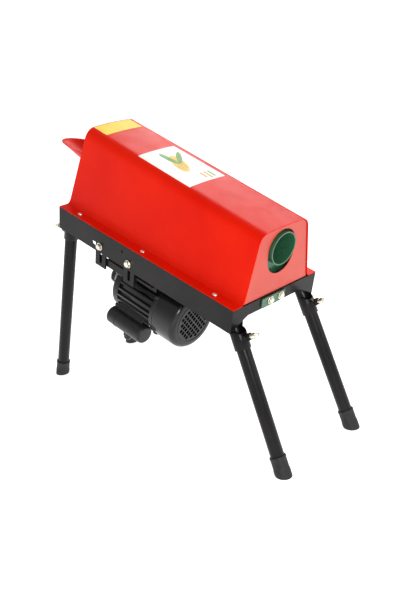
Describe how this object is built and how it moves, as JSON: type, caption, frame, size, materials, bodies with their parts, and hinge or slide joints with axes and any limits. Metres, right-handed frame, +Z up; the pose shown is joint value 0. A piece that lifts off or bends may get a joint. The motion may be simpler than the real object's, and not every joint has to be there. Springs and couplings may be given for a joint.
{
  "type": "electric corn sheller",
  "caption": "Belt-driven electric maize sheller: sloping sheet hood with a feed chute and round cob outlet over a toothed rotor, motor slung under a frame on splayed legs.",
  "frame": {"origin": "on the floor, under the middle of the bounding box", "axes": "+X horizontally along the machine towards the cob outlet, +Z up; the motor hangs on the -Y side"},
  "size_m": [0.7949, 0.2764, 0.6538],
  "materials": {
    "red_paint": "glossy orange-red enamel on sheet steel",
    "black_paint": "semi-gloss black enamel",
    "motor_paint": "satin black enamel on castings",
    "green_paint": "hammered mid-green enamel",
    "zinc": "bright zinc plate, slightly yellow",
    "steel": "turned bare steel",
    "rubber": "matte black rubber",
    "belt_rubber": "matte black V-belt rubber",
    "black_plastic": "satin black moulding"
  },
  "bodies": {
    "frame": {"side_rail_left": "black_paint", "side_rail_right": "black_paint", "front_crossbar": "black_paint", "rear_crossbar": "black_paint", "rear_bearing_bar": "black_paint", "front_bearing_bar": "black_paint", "hood_shell": "red_paint", "front_end_plate": "red_paint", "rear_end_plate": "red_paint", "feed_chute": "red_paint", "hood_screw_left_1": "zinc", "hood_screw_right_1": "zinc", "hood_screw_left_2": "zinc", "hood_screw_right_2": "zinc", "hood_screw_left_3": "zinc", "hood_screw_right_3": "zinc", "threshing_casing": "green_paint", "outlet_collar": "green_paint", "casing_foot": "green_paint", "casing_bolt_1": "zinc", "casing_bolt_2": "zinc", "kernel_sieve": "steel", "rear_bearing_block": "motor_paint", "front_bearing_block": "motor_paint", "drive_belt": "belt_rubber", "hanger_bracket_left_1": "black_paint", "hanger_bolt_left_1": "zinc", "hanger_bracket_left_2": "black_paint", "hanger_bolt_left_2": "zinc", "hanger_bracket_right_1": "black_paint", "hanger_bolt_right_1": "zinc", "hanger_bracket_right_2": "black_paint", "hanger_bolt_right_2": "zinc", "leg_socket_front_left": "black_paint", "leg_socket_front_right": "black_paint", "leg_socket_rear_left": "black_paint", "leg_socket_rear_right": "black_paint"},
    "rotor": {"threshing_rotor": "steel", "rotor_pulley": "steel"},
    "motor": {"motor_cradle": "black_paint", "motor_stator": "motor_paint", "drive_end_shield": "motor_paint", "fan_cowl": "motor_paint", "capacitor_tub": "black_plastic", "cable_gland": "black_plastic"},
    "motor_rotor": {"motor_shaft": "steel", "motor_pulley": "steel", "cooling_fan": "black_plastic"},
    "leg_front_left": {"leg_tube_front_left": "black_paint", "foot_front_left": "rubber"},
    "clamp_front_left": {"clamp_bolt_front_left": "zinc"},
    "leg_front_right": {"leg_tube_front_right": "black_paint", "foot_front_right": "rubber"},
    "clamp_front_right": {"clamp_bolt_front_right": "zinc"},
    "leg_rear_left": {"leg_tube_rear_left": "black_paint", "foot_rear_left": "rubber"},
    "clamp_rear_left": {"clamp_bolt_rear_left": "zinc"},
    "leg_rear_right": {"leg_tube_rear_right": "black_paint", "foot_rear_right": "rubber"},
    "clamp_rear_right": {"clamp_bolt_rear_right": "zinc"}
  },
  "joints": [
    {"name": "rotor_spin", "type": "hinge", "parent": "frame", "child": "rotor", "pos_m": [0.01671, 0, 0.43029], "axis": [0.9703, 0, -0.2419], "continuous": true},
    {"name": "motor_tension", "type": "slide", "parent": "frame", "child": "motor", "axis": [0.2419, 0, 0.9703], "range_m": [0, 0.008], "deforming": ["drive_belt"]},
    {"name": "motor_spin", "type": "hinge", "parent": "motor", "child": "motor_rotor", "pos_m": [-0.02394, -0.055, 0.26728], "axis": [0.9703, 0, -0.2419], "continuous": true},
    {"name": "leg_front_left_slide", "type": "slide", "parent": "frame", "child": "leg_front_left", "axis": [0.3582, -0.0314, -0.9331], "range_m": [0, 0.02]},
    {"name": "clamp_front_left_turn", "type": "hinge", "parent": "frame", "child": "clamp_front_left", "pos_m": [0.27392, -0.10747, 0.27311], "axis": [0.9336, 0, 0.3584], "continuous": true},
    {"name": "leg_front_right_slide", "type": "slide", "parent": "frame", "child": "leg_front_right", "axis": [0.3582, 0.0314, -0.9331], "range_m": [0, 0.02]},
    {"name": "clamp_front_right_turn", "type": "hinge", "parent": "frame", "child": "clamp_front_right", "pos_m": [0.27392, 0.10747, 0.27311], "axis": [0.9336, 0, 0.3584], "continuous": true},
    {"name": "leg_rear_left_slide", "type": "slide", "parent": "frame", "child": "leg_rear_left", "axis": [-0.2839, -0.0314, -0.9583], "range_m": [0, 0.04]},
    {"name": "clamp_rear_left_turn", "type": "hinge", "parent": "frame", "child": "clamp_rear_left", "pos_m": [-0.2591, -0.10741, 0.40529], "axis": [-0.9588, 0, 0.284], "continuous": true},
    {"name": "leg_rear_right_slide", "type": "slide", "parent": "frame", "child": "leg_rear_right", "axis": [-0.2839, 0.0314, -0.9583], "range_m": [0, 0.04]},
    {"name": "clamp_rear_right_turn", "type": "hinge", "parent": "frame", "child": "clamp_rear_right", "pos_m": [-0.2591, 0.10741, 0.40529], "axis": [-0.9588, 0, 0.284], "continuous": true}
  ],
  "couplings": [
    {"joint": "motor_spin", "follows": "rotor_spin", "ratio": 1.4167}
  ]
}
